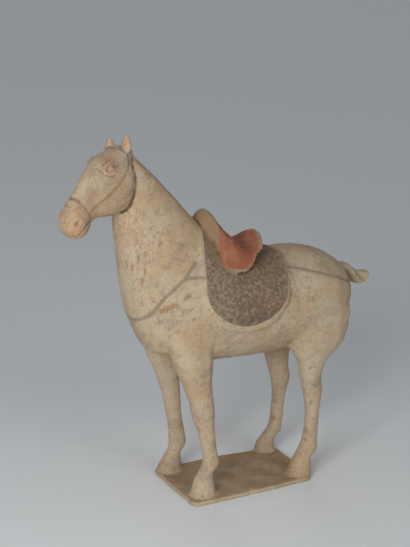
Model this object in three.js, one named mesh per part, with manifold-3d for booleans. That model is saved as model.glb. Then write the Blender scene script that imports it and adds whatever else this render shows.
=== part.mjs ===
// A pottery figure of a standing, saddled horse on a thin base slab, made as one fired piece.
// Millimetres, +Z up. The horse faces -X and its near (left) side is -Y.
// The origin is under the middle of the four hooves, on the underside of the slab.
import * as THREE from "three";
import { ParametricGeometry } from "three/addons/geometries/ParametricGeometry.js";
import { mergeVertices } from "three/addons/utils/BufferGeometryUtils.js";
import Module from "manifold-3d";

const wasm = await Module();
wasm.setup();

const SLAB_THICKNESS = 4.5;
const SLAB_SINK = 1.5;
// The body stands a little to the near side of the feet.
const LEAN = -3;
const LEAN_FOOT = 20;
const LEAN_HEIGHT = 130;
const BODY_SHIFT = [-1.6, LEAN, 1];
const NEAR = -1;
const FAR = 1;

// The barrel from breast to rump, as stations along X.
const TRUNK = {
  columns: ["x", "top", "bottom", "halfWidth", "widest", "fullness"],
  rows: [
    [-92, 222, 156, 24, 184, 2.1],
    [-84, 230, 143, 34, 181, 2.1],
    [-72, 239, 132, 40.5, 177, 2.15],
    [-56, 245, 125.5, 44, 174, 2.15],
    [-42, 240, 124, 45.5, 173, 2.15],
    [-28, 229, 123.5, 46, 172, 2.25],
    [-12, 220, 123, 46, 171, 2.35],
    [8, 216.5, 122.5, 46, 171, 2.35],
    [28, 217, 122.5, 46, 172, 2.3],
    [48, 218, 125.5, 46, 173, 2.25],
    [66, 217, 131.5, 45.5, 174.5, 2.2],
    [82, 213, 139, 43.5, 175, 2.15],
    [95, 206.5, 146, 39.5, 175, 2.1],
    [104, 199, 151, 33, 174, 2.05],
    [110, 189, 158, 23, 173, 2],
  ],
};

// Breast and neck, as level stations from between the forelegs up to the poll.
const NECK = {
  columns: ["z", "front", "rear", "broadest", "halfWidth", "fullness"],
  rows: [
    [141, -92.5, -30, -62, 30, 2],
    [152, -98.6, -20, -60, 37, 2.05],
    [166, -104.2, -14, -58, 41.5, 2.05],
    [180, -110, -12, -58, 42.3, 2],
    [196, -112.5, -12, -58, 41, 2.1],
    [212, -115.3, -14, -60, 37.5, 2.15],
    [228, -117.2, -18, -66, 32, 2.2],
    [242, -119.1, -30, -76, 26.5, 2.25],
    [256, -121.1, -45, -86, 22, 2.25],
    [272, -121, -59, -95, 18.5, 2.2],
    [288, -119.5, -73, -101, 15.5, 2.1],
    [303, -119, -87.5, -106, 13.5, 2.1],
    [314, -119.5, -98.5, -110.5, 11.5, 2.1],
    [321, -119, -105.5, -112.5, 8.5, 2],
  ],
};

// The head has its own frame: along the face from the poll, up from that line, and across it. Its
// sections taper towards the brow, or towards the chin where the taper is below nought.
const POLL = new THREE.Vector3(-108, 0, 322);
const HEAD_TURN = THREE.MathUtils.degToRad(20);
const HEAD_PITCH = THREE.MathUtils.degToRad(48);
// The marks of one side of the face: half sizes along, up and across the head, and the place.
const EYE_TILT = THREE.MathUtils.degToRad(40);
const EYE = { halfSizes: [6.2, 4.6, 2.6], place: [24.5, 15.4, 13.2], tilt: EYE_TILT };
const BROW = { halfSizes: [7, 2.2, 1.6], place: [21, 18.6, 10.8], tilt: EYE_TILT };
const NOSTRIL = { halfSizes: [3.2, 2, 2], place: [83, 19, 11.4], tilt: 0 };
const MOUTH = { halfSizes: [12, 0.9, 14], place: [85.5, 9.6, 0], tilt: 0 };
const HEAD = {
  columns: ["along", "top", "bottom", "halfWidth", "taper", "fullness"],
  rows: [
    [1, 9.5, -3, 9.2, 0, 2.2],
    [6, 13.5, -2.5, 11.8, 0, 2.3],
    [12, 17.2, -7, 14.4, 0, 2.4],
    [18, 20.8, -15.6, 16.2, 0, 2.6],
    [25, 25, -23, 16.3, 0.02, 2.7],
    [34, 27.2, -27, 15.8, 0.06, 2.7],
    [44, 28.2, -24.8, 14.4, 0.12, 2.6],
    [53, 28.6, -18, 12.6, 0.16, 2.5],
    [60, 28.8, -10.4, 11, 0.12, 2.4],
    [66, 28.5, -3.4, 10.4, -0.12, 2.3],
    [71, 28.5, -1.4, 10.8, -0.26, 2.4],
    [76, 28.4, -2.2, 11.4, -0.3, 2.5],
    [81.5, 27.2, -2, 11.6, -0.22, 2.5],
    [86.5, 24.6, 0.2, 11, -0.15, 2.5],
    [90, 21.4, 3.8, 9.2, -0.1, 2.5],
  ],
};

// Each leg has its own stations below, and the two of a pair share their stations above.
const LEG_FULLNESS = 2.1;
const LEG_COLUMNS = ["z", "x", "halfLength", "side", "halfWidth"];
const SHOULDER_ROWS = [
  [121, -59.3, 16.2, 30.6, 12.4],
  [134, -61.5, 19.8, 29.6, 13.8],
  [148, -63, 22.8, 28.4, 14.8],
  [164, -65, 25, 25.8, 15.6],
  [182, -66, 25, 23, 14.5],
  [198, -66, 20, 20, 12],
];
const NEAR_FORE = {
  columns: LEG_COLUMNS,
  rows: [
    [SLAB_THICKNESS - SLAB_SINK, -51.8, 12, 32.5, 11.2],
    [SLAB_THICKNESS + 1, -51.7, 11.8, 32.5, 11],
    [11, -51.4, 10.8, 32.5, 10.2],
    [17, -51.1, 9.6, 32.5, 9],
    [21, -50.6, 8.5, 32.5, 8],
    [25, -49.2, 7.4, 32.5, 7.2],
    [29, -46, 7.5, 32.5, 7.3],
    [33.5, -43.8, 7.9, 32.5, 7.5],
    [39, -43.9, 7.4, 32.5, 6.9],
    [48, -45.6, 7.2, 32.4, 6.7],
    [57.5, -47, 7.3, 32.4, 6.8],
    [67, -48.7, 8.2, 32.2, 7.6],
    [76, -51, 10, 32.1, 9],
    [85, -52.2, 11.3, 32, 9.7],
    [95, -53.6, 11.5, 31.8, 10],
    [104, -55.9, 12.5, 31.5, 10.6],
    [113, -57.8, 14.1, 31, 11.5],
    ...SHOULDER_ROWS,
  ],
};
const FAR_FORE = {
  columns: LEG_COLUMNS,
  rows: [
    [SLAB_THICKNESS - SLAB_SINK, -52.9, 12.2, 32.5, 11.3],
    [SLAB_THICKNESS + 1, -52.7, 12, 32.5, 11.1],
    [9.5, -52.2, 11.1, 32.5, 10.3],
    [14.5, -50.8, 9.3, 32.5, 8.7],
    [19, -49.8, 7.8, 32.5, 7.4],
    [22.5, -48.4, 7, 32.5, 6.8],
    [26, -45.8, 7.8, 32.5, 7.1],
    [29.5, -44.2, 8.7, 32.5, 7.4],
    [34, -44.3, 8.3, 32.5, 7.2],
    [43.5, -45.4, 7.8, 32.5, 7],
    [53.5, -47, 7.4, 32.4, 6.8],
    [63, -48.8, 7.2, 32.3, 6.8],
    [73, -50.2, 7.9, 32.2, 7.4],
    [83, -51.4, 8.9, 32, 8.2],
    [93, -53.3, 9.9, 31.9, 9],
    [103, -55.8, 11.6, 31.5, 10.2],
    [113, -57.9, 13.7, 31, 11.2],
    ...SHOULDER_ROWS,
  ],
};
const HAUNCH_ROWS = [
  [122, 65, 21, 30.2, 13],
  [131, 68.4, 28.8, 29.2, 14.4],
  [142, 69.6, 32.4, 28, 15.6],
  [156, 70.6, 34.2, 26.8, 16.2],
  [171, 71, 34, 25, 16],
  [186, 71, 31, 22, 14.5],
  [200, 69, 22, 18, 11],
];
const NEAR_HIND = {
  columns: LEG_COLUMNS,
  rows: [
    [SLAB_THICKNESS - SLAB_SINK, 50.9, 11.4, 32.5, 10.6],
    [SLAB_THICKNESS + 1, 50.9, 11.6, 32.5, 10.8],
    [12, 52.1, 10.7, 32.5, 10],
    [17, 53, 9.4, 32.5, 9],
    [21, 54.2, 8.4, 32.5, 8.1],
    [24, 57, 9, 32.5, 8.3],
    [27, 59.4, 9.5, 32.5, 8.3],
    [31.5, 60.9, 8.4, 32.5, 7.7],
    [36.5, 61.5, 7.6, 32.5, 7.1],
    [46, 62.6, 6.9, 32.5, 6.6],
    [56, 63.3, 6.7, 32.5, 6.5],
    [66, 63.6, 7, 32.5, 6.8],
    [75, 63.6, 7.9, 32.4, 7.5],
    [81, 63.8, 8.8, 32.4, 8.2],
    [87, 63.4, 9.7, 32.2, 9],
    [95, 61.6, 9.9, 32, 9.4],
    [102, 61, 10.5, 31.8, 10],
    [108, 61.4, 11.8, 31.4, 10.7],
    [114, 62.1, 14.2, 31, 11.6],
    ...HAUNCH_ROWS,
  ],
};
const FAR_HIND = {
  columns: LEG_COLUMNS,
  rows: [
    [SLAB_THICKNESS - SLAB_SINK, 51.5, 10.4, 32.5, 9.8],
    [8, 51.6, 9.9, 32.5, 9.3],
    [13.5, 52.6, 8.3, 32.5, 7.9],
    [18, 55.6, 7.3, 32.5, 7],
    [21.5, 59.8, 7.9, 32.5, 7.2],
    [25, 62, 7.7, 32.5, 7],
    [29, 63, 6.8, 32.5, 6.5],
    [34, 63.9, 6.3, 32.5, 6.1],
    [44, 65, 6.2, 32.5, 6.1],
    [54, 65.9, 6.4, 32.5, 6.3],
    [64, 66.9, 7.3, 32.5, 6.9],
    [71, 67.6, 8.5, 32.4, 7.6],
    [77, 67.8, 10, 32.4, 8.3],
    [83, 66.3, 10.3, 32.3, 8.8],
    [91, 64, 10.5, 32, 9.4],
    [103, 62.4, 12.6, 31.6, 10.8],
    [113, 63, 15.2, 31, 11.8],
    ...HAUNCH_ROWS,
  ],
};

// The saddle from the rolled pommel to the flared cantle, as stations along X.
const SADDLE_SIDE_SHIFT = -1.5;
const CANTLE_UNDERCUT = 3;
const CANTLE_HEIGHT = 12;
const CANTLE_START = 5;
const CANTLE_END = 19;
// The share of a saddle section's outline that is its arch; the rest is its flat underside.
const ARCH_SHARE = 0.8;
const SADDLE = {
  columns: ["x", "top", "flap", "halfWidth", "waist", "fullness"],
  rows: [
    [-42, 255, 222.5, 26.5, 0.26, 1.8],
    [-39.5, 260.5, 220.5, 29, 0.28, 1.75],
    [-36, 263.2, 218, 31.8, 0.3, 1.7],
    [-32.5, 263.2, 215.5, 34.2, 0.3, 1.7],
    [-29, 260.5, 213, 36.4, 0.26, 1.75],
    [-25, 253.4, 211, 38, 0.2, 1.85],
    [-18, 244, 210, 38.8, 0.12, 2],
    [-10, 236.8, 210, 38.8, 0.08, 2.1],
    [-3, 230, 215, 36.4, 0.04, 2.2],
    [2, 228.2, 221.5, 32.4, 0, 2.2],
    [7, 228.8, 224, 28.6, 0, 2],
    [11.5, 232.8, 224.5, 26, 0, 1.9],
    [15.5, 237, 224.5, 24.5, 0, 1.9],
    [19, 238.6, 224, 18.5, 0, 1.9],
  ],
};

// The saddle cloth is an oval pad that lies over the back, with a soft raised rim. Its front edge
// turns back towards the saddle where it climbs the withers, and its rear edge flares a little towards
// the spine.
const CLOTH_CENTRE_X = -12.3;
const CLOTH_HALF_LENGTH = 42.2;
const CLOTH_STRAIGHT_DEGREES = 60;
const CLOTH_ROUND_DEGREES = 40.5;
const CLOTH_FULLNESS = 2.4;
const CLOTH_ARC_SHARE = 0.6;
const CLOTH_FRONT_CUT = 17;
const CLOTH_FRONT_TURN = 1.5;
const CLOTH_REAR_FLARE = 7;
const CLOTH_REAR_TURN = 0.8;
const CLOTH_UNDERSIDE = -5;
const CLOTH_PROFILE = [
  [1.07, -1.5],
  [1.04, 0.9],
  [1.005, 2.2],
  [0.965, 2.2],
  [0.92, 1.5],
  [0.55, 1.5],
  [0, 1.5],
];

// The docked tail comes off the croup, and its tip is a leaf folded up behind it.
const TAIL_ROUTE = [
  new THREE.Vector3(100, 0, 186),
  new THREE.Vector3(108.5, 0, 190),
  new THREE.Vector3(114.5, 0, 191),
  new THREE.Vector3(119.5, 0, 188.5),
  new THREE.Vector3(124.8, 0, 183.6),
  new THREE.Vector3(129.3, 0, 177.6),
  new THREE.Vector3(132.6, 0, 172.2),
];
const TAIL_HALF_WIDTH = 6;
const TAIL_ROOT_DEPTH = 3.7;
const TAIL_END_DEPTH = 6;
const TAIL_WIDENS_FROM = 0.5;
const TAIL_LEAF_BEVEL = 1.5;
const NECK_SEARCH_STEP = 0.1;
// The ears stand at the poll, each from its base to its tip as along, up and near in the head frame.
const NEAR_EAR = { base: [5, 8.5, 9.4], tip: [-8.3, 19.3, 9] };
const FAR_EAR = { base: [6, 8.5, -10], tip: [-3, 18, -9.8] };
const EAR_HALF_WIDTH = 5.2;
const EAR_HALF_DEPTH = 3.8;
// How much an ear widens above its base, how it narrows to its tip, and the share it is rooted by.
const EAR_LEAF = 0.9;
const EAR_POINT = 0.72;
const EAR_ROOT = 0.12;

// Reads a table of stations and returns the smooth value of every column at a place along it.
function stations({ columns, rows }) {
  const places = rows.map((row) => row[0]);
  const values = rows.flatMap((row) => row.slice(1));
  const width = columns.length - 1;
  const curve = new THREE.CubicInterpolant(places, values, width, new Float64Array(width));
  const first = places[0];
  const last = places[places.length - 1];
  const at = (place) => {
    const found = curve.evaluate(THREE.MathUtils.clamp(place, first, last));
    return Object.fromEntries(columns.slice(1).map((name, i) => [name, found[i]]));
  };
  return { places, at };
}

// A point on a rounded oval: fullness 2 is an ellipse, and more is squarer.
function oval(angle, across, up, down, fullness) {
  const round = (value) => Math.sign(value) * Math.abs(value) ** (2 / fullness);
  const rise = Math.sin(angle) >= 0 ? up : down;
  return [across * round(Math.cos(angle)), rise * round(Math.sin(angle))];
}

// Rings of a loft, each a place and the size of its section: one at every station, some between
// them, and a dome at either end. Without a dome the end is flat.
function loftRings({ places }, between, startDome, endDome, domeRings) {
  const first = places[0];
  const last = places[places.length - 1];
  const bend = Array.from({ length: domeRings }, (_, i) => ((i / domeRings) * Math.PI) / 2);
  const dome = (end, depth) => bend.map((a) => [end + depth * Math.cos(a), Math.sin(a)]);
  const rings = startDome > 0 ? dome(first, -startDome) : [[first, 0]];
  places.forEach((place, i) => {
    rings.push([place, 1]);
    const step = (places[i + 1] - place) / (between + 1);
    for (let k = 1; k <= between && i < places.length - 1; k += 1) rings.push([place + step * k, 1]);
  });
  return rings.concat(endDome > 0 ? dome(last, endDome).reverse() : [[last, 0]]);
}

// A closed skin through rings of points: ring(i, turn) gives the point, turn runs from 0 to 1.
function skin(around, ringCount, point) {
  return new ParametricGeometry(
    (u, v, target) => target.copy(point(Math.round(v * ringCount), u === 1 ? 0 : u)),
    around,
    ringCount,
  );
}

// Turns a geometry into a solid after its doubled points and empty triangles are dropped.
function solid(geometry) {
  const bare = geometry.clone();
  bare.deleteAttribute("normal");
  bare.deleteAttribute("uv");
  const merged = mergeVertices(bare, 1e-4);
  const index = merged.index.array;
  const kept = [];
  for (let i = 0; i < index.length; i += 3) {
    const [a, b, c] = [index[i], index[i + 1], index[i + 2]];
    if (a !== b && b !== c && c !== a) kept.push(a, b, c);
  }
  const vertProperties = merged.attributes.position.array;
  const made = new wasm.Manifold(
    new wasm.Mesh({ numProp: 3, vertProperties, triVerts: new Uint32Array(kept) }),
  );
  if (made.volume() <= 0) throw new Error("a solid is inside out");
  return made;
}

const TRUNK_CURVE = stations(TRUNK);
const NECK_CURVE = stations(NECK);

// A point on the barrel at an angle round its section, moved outward by an offset.
function trunkPoint(x, angle, offset) {
  const at = TRUNK_CURVE.at(x);
  const up = at.top - at.widest;
  const down = at.widest - at.bottom;
  const [y, z] = oval(angle, at.halfWidth, up, down, at.fullness);
  const outward = new THREE.Vector2(y / at.halfWidth ** 2, z / (z >= 0 ? up : down) ** 2);
  outward.normalize().multiplyScalar(offset);
  return new THREE.Vector3(x, y + outward.x, at.widest + z + outward.y);
}

function trunk() {
  const rings = loftRings(TRUNK_CURVE, 1, 3, 3.5, 2);
  return solid(
    skin(30, rings.length - 1, (ring, turn) => {
      const [x, size] = rings[ring];
      const at = TRUNK_CURVE.at(x);
      const point = trunkPoint(x, turn * 2 * Math.PI, 0);
      point.y *= size;
      point.z = at.widest + (point.z - at.widest) * size;
      return point;
    }),
  );
}

function neck() {
  const rings = loftRings(NECK_CURVE, 1, 4, 3, 2);
  return solid(
    skin(26, rings.length - 1, (ring, turn) => {
      const [z, size] = rings[ring];
      const at = NECK_CURVE.at(z);
      const ahead = at.broadest - at.front;
      const behind = at.rear - at.broadest;
      const [y, x] = oval(-turn * 2 * Math.PI, at.halfWidth, behind, ahead, at.fullness);
      return new THREE.Vector3(at.broadest + x * size, y * size, z);
    }),
  );
}

const FORWARD = new THREE.Vector3(-Math.cos(HEAD_TURN), -Math.sin(HEAD_TURN), 0);
const HEAD_NEAR = new THREE.Vector3(Math.sin(HEAD_TURN), -Math.cos(HEAD_TURN), 0);
const HEAD_ALONG = FORWARD.clone()
  .multiplyScalar(Math.cos(HEAD_PITCH))
  .add(new THREE.Vector3(0, 0, -Math.sin(HEAD_PITCH)));
const HEAD_UP = FORWARD.clone()
  .multiplyScalar(Math.sin(HEAD_PITCH))
  .add(new THREE.Vector3(0, 0, Math.cos(HEAD_PITCH)));

function headPoint(along, up, near) {
  return POLL.clone()
    .addScaledVector(HEAD_ALONG, along)
    .addScaledVector(HEAD_UP, up)
    .addScaledVector(HEAD_NEAR, near);
}

function head() {
  const curve = stations(HEAD);
  const rings = loftRings(curve, 1, 3, 3, 3);
  return solid(
    skin(22, rings.length - 1, (ring, turn) => {
      const [along, size] = rings[ring];
      const at = curve.at(along);
      const middle = (at.top + at.bottom) / 2;
      const half = (at.top - at.bottom) / 2;
      const [side, up] = oval(turn * 2 * Math.PI, at.halfWidth, half, half, at.fullness);
      const pinch = (at.taper * up) / half;
      const narrowing = 1 - (at.taper > 0 ? pinch : Math.max(pinch, 0));
      return headPoint(along, middle + up * size, side * narrowing * size);
    }),
  );
}

// A smooth bead set in the head's own frame on one side of the face, turned there by its tilt.
function bead(mark, side, segments, rows) {
  const [along, up, near] = mark.place;
  const shape = new THREE.SphereGeometry(1, segments, rows);
  const basis = new THREE.Matrix4().makeBasis(HEAD_ALONG, HEAD_UP, HEAD_NEAR.clone().negate());
  shape.scale(...mark.halfSizes);
  shape.rotateZ(mark.tilt);
  shape.applyMatrix4(basis.setPosition(headPoint(along, up, -side * near)));
  return solid(shape);
}

function face() {
  let made = head();
  for (const side of [NEAR, FAR]) {
    made = made.add(bead(EYE, side, 10, 7));
    made = made.add(bead(BROW, side, 8, 6));
    made = made.subtract(bead(NOSTRIL, side, 8, 6));
  }
  return made.subtract(bead(MOUTH, NEAR, 16, 4));
}

function ear(mark, side) {
  const base = headPoint(...mark.base);
  const tip = headPoint(...mark.tip);
  const count = 7;
  const out = HEAD_NEAR.clone().multiplyScalar(-side);
  const rise = tip.clone().sub(base);
  const facing = out.clone().cross(rise).normalize();
  const across = rise.clone().normalize().cross(facing);
  return solid(
    skin(12, count, (ring, turn) => {
      const share = ring / count;
      const size = ring === 0 ? 0 : (1 - share) ** EAR_POINT * (1 + EAR_LEAF * share);
      const climb = Math.max(share - EAR_ROOT, 0) / (1 - EAR_ROOT);
      const angle = turn * 2 * Math.PI;
      return base
        .clone()
        .addScaledVector(rise, climb)
        .addScaledVector(across, EAR_HALF_WIDTH * size * Math.cos(angle))
        .addScaledVector(facing, -EAR_HALF_DEPTH * size * Math.sin(angle));
    }),
  );
}

function leg(table, side) {
  const curve = stations(table);
  const rings = loftRings(curve, 0, 0, 4, 1);
  return solid(
    skin(12, rings.length - 1, (ring, turn) => {
      const [z, size] = rings[ring];
      const at = curve.at(z);
      const angle = turn * 2 * Math.PI;
      const [x, y] = oval(angle, at.halfLength, at.halfWidth, at.halfWidth, LEG_FULLNESS);
      const lean = LEAN * THREE.MathUtils.clamp((z - LEAN_FOOT) / LEAN_HEIGHT, 0, 1);
      return new THREE.Vector3(at.x + x * size, side * at.side + lean + y * size, z);
    }),
  );
}

function tail() {
  const path = new THREE.CatmullRomCurve3(TAIL_ROUTE);
  const count = 11;
  const across = new THREE.Vector3(0, 1, 0);
  return solid(
    skin(12, count, (ring, turn) => {
      const share = ring / count;
      const along = path.getTangentAt(share);
      const up = along.clone().cross(across).normalize();
      const size = ring === 0 || ring === count ? 0 : 1;
      const widened = THREE.MathUtils.smoothstep(share, TAIL_WIDENS_FROM, 1);
      const depth = THREE.MathUtils.lerp(TAIL_ROOT_DEPTH, TAIL_END_DEPTH, widened);
      const angle = turn * 2 * Math.PI;
      return path
        .getPointAt(share)
        .addScaledVector(across, TAIL_HALF_WIDTH * size * Math.cos(angle))
        .addScaledVector(up, depth * size * Math.sin(angle));
    }),
  );
}

// The folded tip, a leaf that stands in the middle plane and widens to a nearly level top.
function tailLeaf() {
  const outline = new THREE.Shape();
  const depth = 2 * (TAIL_HALF_WIDTH - TAIL_LEAF_BEVEL);
  outline.moveTo(132, 182);
  outline.lineTo(142, 180.5);
  outline.quadraticCurveTo(141.5, 174.5, 137, 173);
  outline.lineTo(130, 173);
  outline.closePath();
  const shape = new THREE.ExtrudeGeometry(outline, {
    depth,
    bevelSize: TAIL_LEAF_BEVEL,
    bevelThickness: TAIL_LEAF_BEVEL,
    bevelSegments: 1,
    curveSegments: 3,
  });
  shape.translate(0, 0, -depth / 2);
  shape.rotateX(Math.PI / 2);
  return solid(shape);
}

// The edge of the saddle cloth as a place along the back and degrees down from the spine.
function clothEdge(turn, reach) {
  const quarter = turn * 4;
  const side = quarter < 2 ? 1 : -1;
  const run = quarter % 2;
  const arc = Math.min(run / (2 * CLOTH_ARC_SHARE), 1) * Math.PI;
  const [along, hang] = oval(arc, 1, 1, 1, CLOTH_FULLNESS);
  const straight = Math.max(run - 2 * CLOTH_ARC_SHARE, 0) / (2 - 2 * CLOTH_ARC_SHARE);
  const down = CLOTH_STRAIGHT_DEGREES * (1 - 2 * straight);
  const degrees = side * (down + Math.max(hang, 0) * CLOTH_ROUND_DEGREES * reach);
  const forward = side * along;
  const climb = Math.max(1 - Math.abs(degrees) / CLOTH_STRAIGHT_DEGREES, 0);
  const cut = CLOTH_FRONT_CUT * Math.max(forward, 0) * climb ** CLOTH_FRONT_TURN;
  const flare = CLOTH_REAR_FLARE * Math.max(-forward, 0) * climb ** CLOTH_REAR_TURN;
  return [CLOTH_CENTRE_X - (forward * CLOTH_HALF_LENGTH - cut - flare) * reach, degrees];
}

function insideNeck(point) {
  const at = NECK_CURVE.at(point.z);
  const reach = point.x < at.broadest ? at.broadest - at.front : at.rear - at.broadest;
  const along = Math.abs(point.x - at.broadest) / reach;
  const across = Math.abs(point.y) / at.halfWidth;
  return along ** at.fullness + across ** at.fullness < 1;
}

// A point over the trunk or the neck, whichever stands further out at that place.
function bodyPoint(x, angle, offset) {
  const surface = trunkPoint(x, angle, 0);
  const axis = new THREE.Vector3(x, 0, TRUNK_CURVE.at(x).widest);
  const ray = surface.clone().sub(axis);
  const trunkReach = ray.length();
  ray.normalize();
  let reach = trunkReach;
  while (insideNeck(axis.clone().addScaledVector(ray, reach))) reach += NECK_SEARCH_STEP;
  return reach > trunkReach
    ? axis.addScaledVector(ray, reach + offset)
    : trunkPoint(x, angle, offset);
}

function saddleCloth() {
  const hidden = [
    [0, CLOTH_UNDERSIDE],
    [1.04, CLOTH_UNDERSIDE],
  ];
  const rings = [...hidden, ...CLOTH_PROFILE];
  return solid(
    skin(60, rings.length - 1, (ring, turn) => {
      const [reach, offset] = rings[ring];
      const [x, degrees] = clothEdge((1 - turn) % 1, reach);
      return bodyPoint(x, THREE.MathUtils.degToRad(90 - degrees), offset);
    }),
  );
}

function saddle() {
  const curve = stations(SADDLE);
  const rings = loftRings(curve, 0, 1, 3.5, 2);
  return solid(
    skin(28, rings.length - 1, (ring, turn) => {
      const [x, size] = rings[ring];
      const at = curve.at(x);
      const middle = new THREE.Vector3(x, SADDLE_SIDE_SHIFT, at.flap - 2);
      const arch = Math.min(turn / ARCH_SHARE, 1) * Math.PI;
      const under = Math.max(turn - ARCH_SHARE, 0) / (1 - ARCH_SHARE);
      const [y, z] = oval(arch, at.halfWidth, at.top - at.flap, 0, at.fullness);
      const height = z / (at.top - at.flap);
      const drawnIn = 1 - at.waist * 4 * height * (1 - height);
      const side = y * drawnIn + 2 * under * at.halfWidth;
      const point = new THREE.Vector3(x, SADDLE_SIDE_SHIFT + side, at.flap + z);
      const undercut = CANTLE_UNDERCUT * THREE.MathUtils.smoothstep(x, CANTLE_START, CANTLE_END);
      const placed = middle.lerp(point, size);
      placed.x -= undercut * THREE.MathUtils.clamp((at.top - placed.z) / CANTLE_HEIGHT, 0, 1);
      return placed;
    }),
  );
}

function slab() {
  const outline = new THREE.Shape();
  outline.moveTo(-61, 41);
  outline.quadraticCurveTo(-65, 40, -65.5, 36);
  outline.lineTo(-68.3, -42);
  outline.quadraticCurveTo(-68, -46.6, -63, -47);
  outline.lineTo(-40, -47.9);
  outline.lineTo(-14, -48);
  outline.lineTo(-9.5, -45.6);
  outline.lineTo(-5, -47.4);
  outline.lineTo(20, -46.6);
  outline.lineTo(51, -45.4);
  outline.quadraticCurveTo(57.5, -45.2, 58.5, -40);
  outline.lineTo(64, 27);
  outline.quadraticCurveTo(64.5, 33, 59, 34);
  outline.lineTo(10, 40);
  outline.closePath();
  return solid(
    new THREE.ExtrudeGeometry(outline, {
      depth: SLAB_THICKNESS,
      bevelEnabled: false,
      curveSegments: 4,
    }),
  );
}

function geometryOf(made) {
  const mesh = made.getMesh();
  const geometry = new THREE.BufferGeometry();
  geometry.setAttribute("position", new THREE.BufferAttribute(mesh.vertProperties, 3));
  geometry.setIndex(new THREE.BufferAttribute(mesh.triVerts, 1));
  return geometry;
}

const stance = [
  slab(),
  leg(NEAR_FORE, NEAR),
  leg(FAR_FORE, FAR),
  leg(NEAR_HIND, NEAR),
  leg(FAR_HIND, FAR),
];
const body = [
  trunk(),
  neck(),
  face(),
  ear(NEAR_EAR, NEAR),
  ear(FAR_EAR, FAR),
  tail(),
  tailLeaf(),
  saddleCloth(),
  saddle(),
].map((piece) => piece.translate(BODY_SHIFT));
const parts = [...stance, ...body];
const firedClay = new THREE.MeshStandardMaterial({ color: 0xb9a88e, roughness: 0.9, metalness: 0 });
const figure = new THREE.Mesh(
  geometryOf(parts.reduce((whole, piece) => whole.add(piece))),
  firedClay,
);
figure.name = "horse_figure";

const horse = new THREE.Group();
horse.add(figure);
export default horse;
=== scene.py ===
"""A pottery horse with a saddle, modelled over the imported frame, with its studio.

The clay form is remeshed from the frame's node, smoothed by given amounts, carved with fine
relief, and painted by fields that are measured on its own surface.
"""

import math

import bmesh
import bpy
import numpy as np
from bpy.props import FloatProperty, FloatVectorProperty, IntProperty, PointerProperty
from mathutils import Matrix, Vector
from mathutils.bvhtree import BVHTree


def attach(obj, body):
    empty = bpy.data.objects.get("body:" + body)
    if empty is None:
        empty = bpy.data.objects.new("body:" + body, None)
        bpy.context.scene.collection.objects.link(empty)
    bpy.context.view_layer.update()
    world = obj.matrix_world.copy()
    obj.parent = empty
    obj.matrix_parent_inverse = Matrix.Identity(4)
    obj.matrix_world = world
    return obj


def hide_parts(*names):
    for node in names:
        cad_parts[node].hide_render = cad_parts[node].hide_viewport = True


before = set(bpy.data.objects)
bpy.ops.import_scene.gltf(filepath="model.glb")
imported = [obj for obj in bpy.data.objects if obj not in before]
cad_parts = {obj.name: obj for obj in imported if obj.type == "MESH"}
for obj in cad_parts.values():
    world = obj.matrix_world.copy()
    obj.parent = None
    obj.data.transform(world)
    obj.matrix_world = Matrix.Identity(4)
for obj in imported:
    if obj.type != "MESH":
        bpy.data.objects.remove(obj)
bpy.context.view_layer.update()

bl_info = {
    "name": "Pottery horse",
    "version": (1, 0, 0),
    "blender": (4, 5, 0),
    "location": "View3D > Sidebar > Pottery horse",
    "description": "Builds a slipped and painted pottery horse with its studio",
    "category": "Add Mesh",
}

NODE = "horse_figure"
PIECE = "pottery_horse"
MM = 0.001

# The body's middle plane, and the barrel's axis across and up, in millimetres.
BODY_MIDDLE_Y = -3.0
BARREL_AXIS = (-2.6, 173.0)
BARREL_HALF_HEIGHT = 49.5
BARREL_FULLNESS = 2.3

# The line of the back above the barrel's axis: level behind, then rising to the withers.
BACK_HEIGHT = 45.5
WITHERS_RISE = 25.5
WITHERS_START_X = 8.0
WITHERS_RUN = 64.0

# Where parts of the figure start, in millimetres.
HOOF_TOP = 15.0
HEAD_JOIN_X = -96.0
HEAD_BACK_X = -100.0
FACE_BACK_X = -112.0
MUZZLE_BACK_X = -140.0
TAIL_FRONT_X = 114.0
BARREL_LOW_Z = 120.0
SADDLE_LOW_Z = 205.0
EARS_LOW_Z = 329.0
EARS_FRONT_X = -130.0
NOSE_BACK_X = -130.0
CLOTH_SPAN = (-66, 45)

# Where parts and stains fade in, from none to full: in millimetres, and the pommel's sides in degrees.
LEGS_FADE = (150, 120)
HEAD_FADE = (-18, -4)
EARS_FADE = (326, 333)
MUZZLE_FADE = (67, 72)
SLAB_FADE = (5.2, 4.2)
NECK_RISE = (205, 225)
NECK_FADE = (-75, -95)
POMMEL_SIDES = (6, 22)
POMMEL_FADE = (-27, -33)

# The head's own frame: along the face from the poll, up from that line, and towards the near side.
POLL = np.array([-109.6, -3.0, 323.0])
HEAD_TURN = math.radians(20)
HEAD_PITCH = math.radians(48)

# The oval of the saddle cloth over the barrel: middle, half length, and its degrees from the spine.
CLOTH_MIDDLE_X = -13.9
CLOTH_HALF_LENGTH = 42.2
CLOTH_STRAIGHT = 60.0
CLOTH_ROUND = 40.5
CLOTH_FULLNESS = 2.4
CLOTH_FRONT_CUT = 17.0
CLOTH_FRONT_TURN = 1.5
CLOTH_REAR_FLARE = 7.0
CLOTH_REAR_TURN = 0.8

# Far from every painted area, in millimetres.
FAR_OFF = 40.0

# How much of the smoothing each part takes; the barrel takes all of it.
SMOOTHING = {
    "legs": 0.3, "head": 0.12, "ears": 0.05, "saddle": 0.12, "cloth rim": 0.16, "tail": 0.1, "slab": 0.06,
}

# The lamps: degrees of turn and lift about the aim, distances in metres.
KEY_PLACE = (-46, 18)
KEY_DISTANCE = 1.3
KEY_SIZE = 0.55
FILL_PLACE = (8, 24)
REAR_PLACE = (165, 20)
BROAD_DISTANCE = 1.7
BROAD_SPREAD = math.radians(30)
FLOOR_HALF = 14.0

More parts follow.
